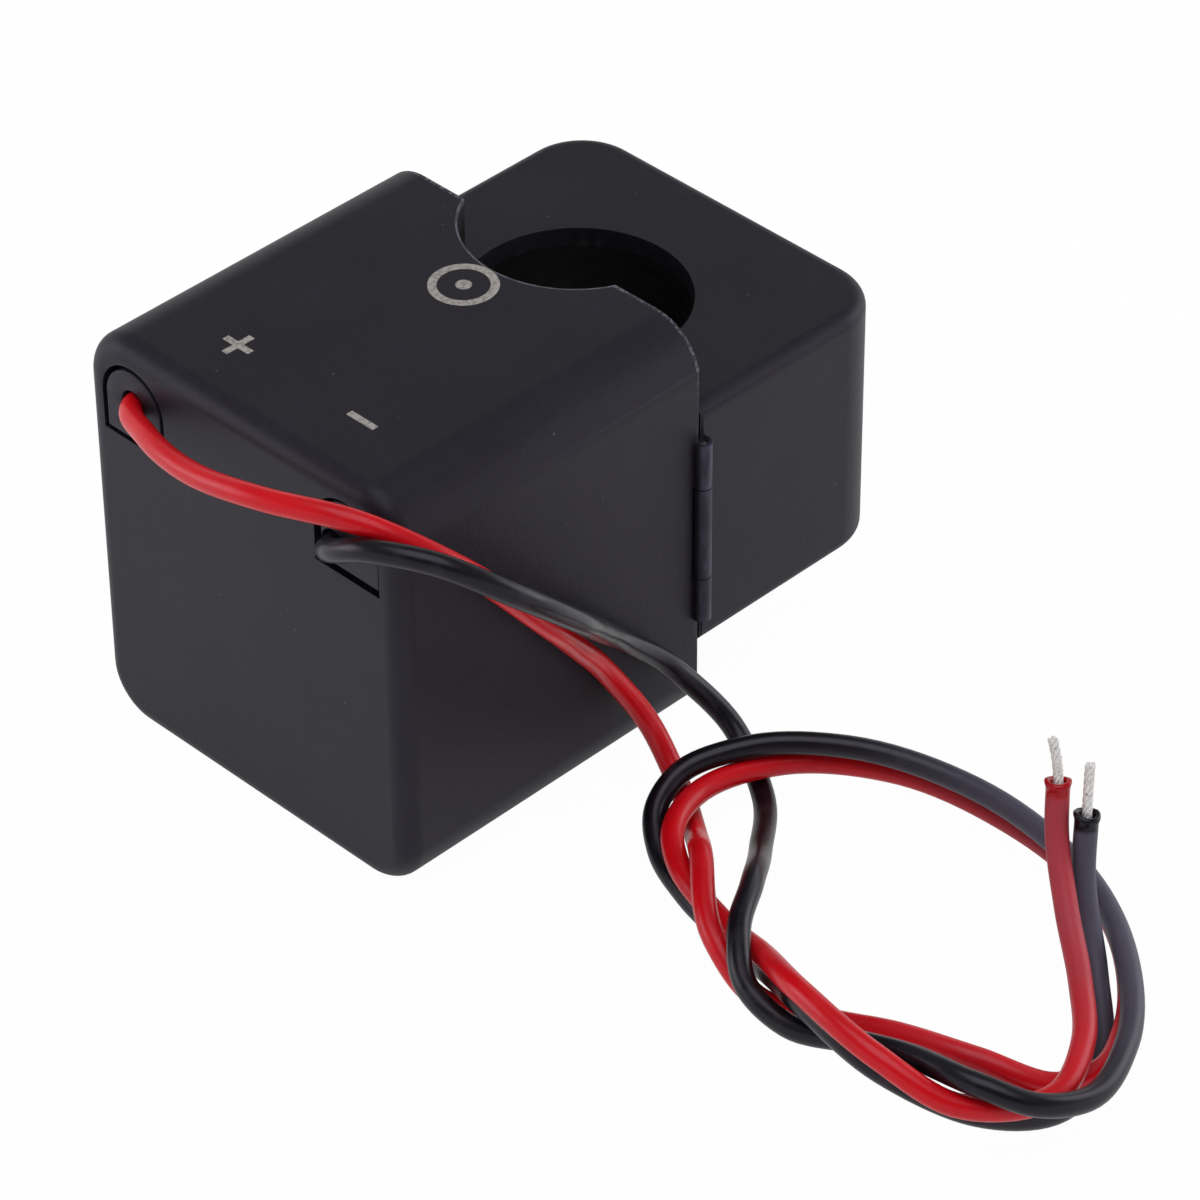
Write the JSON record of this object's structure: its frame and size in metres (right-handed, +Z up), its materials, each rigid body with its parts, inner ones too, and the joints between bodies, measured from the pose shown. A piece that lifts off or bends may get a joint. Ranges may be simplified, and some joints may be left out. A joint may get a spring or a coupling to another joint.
{
  "type": "split-core current transformer",
  "caption": "Hinged split-core current transformer with a round cable window, a taller wound main body, a lower cap and two loose flying leads.",
  "frame": {"origin": "centre of the window, at the middle of the main body's height", "axes": "+Z up along the window's axis, +X from the wire end towards the cap, -Y the hinge side"},
  "size_m": [0.051, 0.0781, 0.0323],
  "materials": {
    "housing": "fine matt texture, charcoal",
    "inner_cover": "matt, black",
    "plug": "fine matt texture, charcoal",
    "core": "ground ferrite",
    "bobbin": "natural nylon",
    "magnet_wire": "enamelled copper wire",
    "tape": "yellow polyester tape",
    "tinned_metal": "tinned",
    "spring_steel": "bright",
    "red_insulation": "satin, red",
    "black_insulation": "satin, black"
  },
  "bodies": {
    "main": {"main_housing": "housing", "main_inner_cover": "inner_cover", "main_core_yoke": "core", "main_core_limb_near": "core", "main_core_limb_far": "core", "bobbin": "bobbin", "secondary_winding": "magnet_wire", "winding_tape": "tape", "red_terminal_pin": "tinned_metal", "black_terminal_pin": "tinned_metal", "red_solder_joint": "tinned_metal", "black_solder_joint": "tinned_metal", "red_lead_plug": "plug", "black_lead_plug": "plug", "red_lead": "red_insulation", "black_lead": "black_insulation", "red_lead_end": "tinned_metal", "black_lead_end": "tinned_metal", "hinge_pin": "spring_steel"},
    "cap": {"cap_housing": "housing", "cap_inner_cover": "inner_cover", "cap_core": "core", "cap_core_spring": "spring_steel"}
  },
  "joints": [
    {"name": "cap_hinge", "type": "hinge", "parent": "main", "child": "cap", "pos_m": [-0.00343, -0.0152, 0], "axis": [0, 0, -1], "range_deg": [0, 90]}
  ]
}
